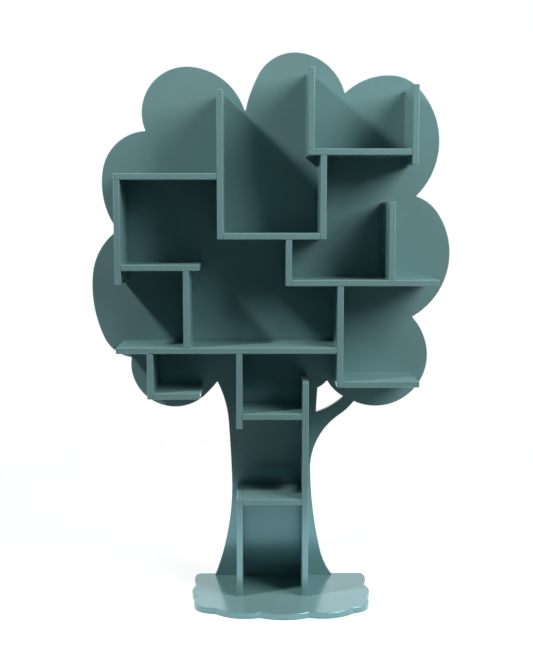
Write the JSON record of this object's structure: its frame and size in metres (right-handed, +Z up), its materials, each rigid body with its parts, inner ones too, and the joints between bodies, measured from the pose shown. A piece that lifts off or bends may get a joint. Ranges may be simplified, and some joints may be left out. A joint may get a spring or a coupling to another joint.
{
  "type": "tree shaped bookshelf",
  "caption": "Free-standing lacquered bookcase whose back panel is cut out as a tree, with shelves and uprights branching over its face and a scalloped base plate.",
  "frame": {"origin": "on the floor under the base plate, in the plane of the back panel's face, at the middle of the base's width", "axes": "+X to the right as seen from the front, +Y from the front to the back, +Z up"},
  "size_m": [1.0829, 0.3389, 1.6202],
  "materials": {
    "lacquer": "petrol green gloss lacquer",
    "screw_steel": "zinc plated"
  },
  "bodies": {
    "root": {"back_panel": "lacquer", "base_plate": "lacquer", "base_screws": "screw_steel", "shelf_centre": "lacquer", "shelf_long": "lacquer", "shelf_lower_left": "lacquer", "shelf_lower_right": "lacquer", "shelf_middle_left": "lacquer", "shelf_middle_right": "lacquer", "shelf_trunk_lower": "lacquer", "shelf_trunk_upper": "lacquer", "shelf_upper_left": "lacquer", "shelf_upper_right": "lacquer", "upright_centre": "lacquer", "upright_hanging": "lacquer", "upright_lower_left": "lacquer", "upright_lower_right": "lacquer", "upright_middle_left": "lacquer", "upright_middle_right": "lacquer", "upright_outer_left": "lacquer", "upright_outer_right": "lacquer", "upright_top": "lacquer", "upright_trunk_left": "lacquer", "upright_trunk_right": "lacquer", "upright_trunk_upper": "lacquer", "upright_upper_left": "lacquer"}
  },
  "joints": []
}
